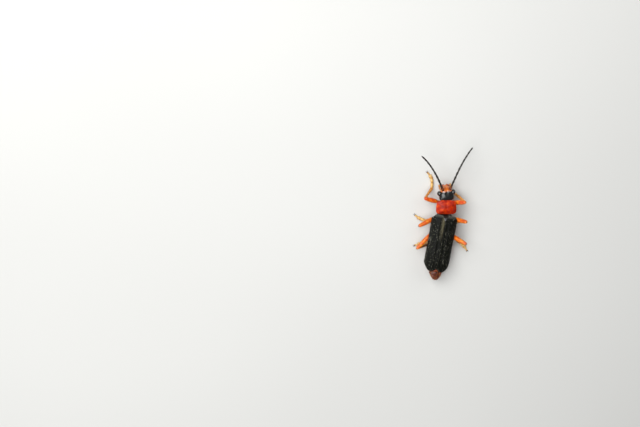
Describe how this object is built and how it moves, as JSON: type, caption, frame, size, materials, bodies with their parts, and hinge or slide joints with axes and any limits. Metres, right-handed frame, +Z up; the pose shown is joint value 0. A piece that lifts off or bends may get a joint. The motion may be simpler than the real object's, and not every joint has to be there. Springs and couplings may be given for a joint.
{
  "type": "soldier beetle",
  "caption": "Slender beetle at rest on its feet, with a black head crown, red-orange neck shield, long black wing cases, thread-like antennae and orange legs.",
  "frame": {"origin": "on the floor under the middle of the model", "axes": "+Z up, +Y from head to tail, +X to the left of the animal"},
  "size_m": [0.009, 0.0178, 0.0041],
  "materials": {
    "black_shell": "glossy black cuticle",
    "wing_case": "black cuticle with a fine grey down",
    "red_shell": "satin red-orange cuticle",
    "orange_shell": "satin orange cuticle",
    "pale_shell": "satin yellow-brown cuticle",
    "eye": "glossy black facets"
  },
  "bodies": {
    "root": {"abdomen": "orange_shell", "abdomen_tip": "orange_shell", "antenna_left_base": "black_shell", "antenna_left_middle": "black_shell", "antenna_left_scape": "black_shell", "antenna_left_tip": "black_shell", "antenna_right_base": "black_shell", "antenna_right_middle": "black_shell", "antenna_right_scape": "black_shell", "antenna_right_tip": "black_shell", "coxa_front_left": "orange_shell", "coxa_front_right": "orange_shell", "coxa_hind_left": "black_shell", "coxa_hind_right": "black_shell", "coxa_mid_left": "black_shell", "coxa_mid_right": "black_shell", "crown": "black_shell", "elytron_left": "wing_case", "elytron_right": "wing_case", "eye_left": "eye", "eye_right": "eye", "face": "orange_shell", "femur_front_left": "orange_shell", "femur_front_right": "orange_shell", "femur_hind_left": "orange_shell", "femur_hind_right": "orange_shell", "femur_mid_left": "orange_shell", "femur_mid_right": "orange_shell", "labium": "pale_shell", "labrum": "orange_shell", "mandible_left": "orange_shell", "mandible_right": "orange_shell", "maxillary_palp_left": "pale_shell", "maxillary_palp_right": "pale_shell", "mesothorax": "black_shell", "metathorax": "black_shell", "neck": "orange_shell", "pronotum": "red_shell", "prosternum": "orange_shell", "scutellum": "black_shell", "tarsus_front_left": "pale_shell", "tarsus_front_right": "pale_shell", "tarsus_hind_left": "pale_shell", "tarsus_hind_right": "pale_shell", "tarsus_mid_left": "pale_shell", "tarsus_mid_right": "pale_shell", "tibia_front_left": "pale_shell", "tibia_front_right": "pale_shell", "tibia_hind_left": "black_shell", "tibia_hind_right": "black_shell", "tibia_mid_left": "pale_shell", "tibia_mid_right": "pale_shell"}
  },
  "joints": []
}
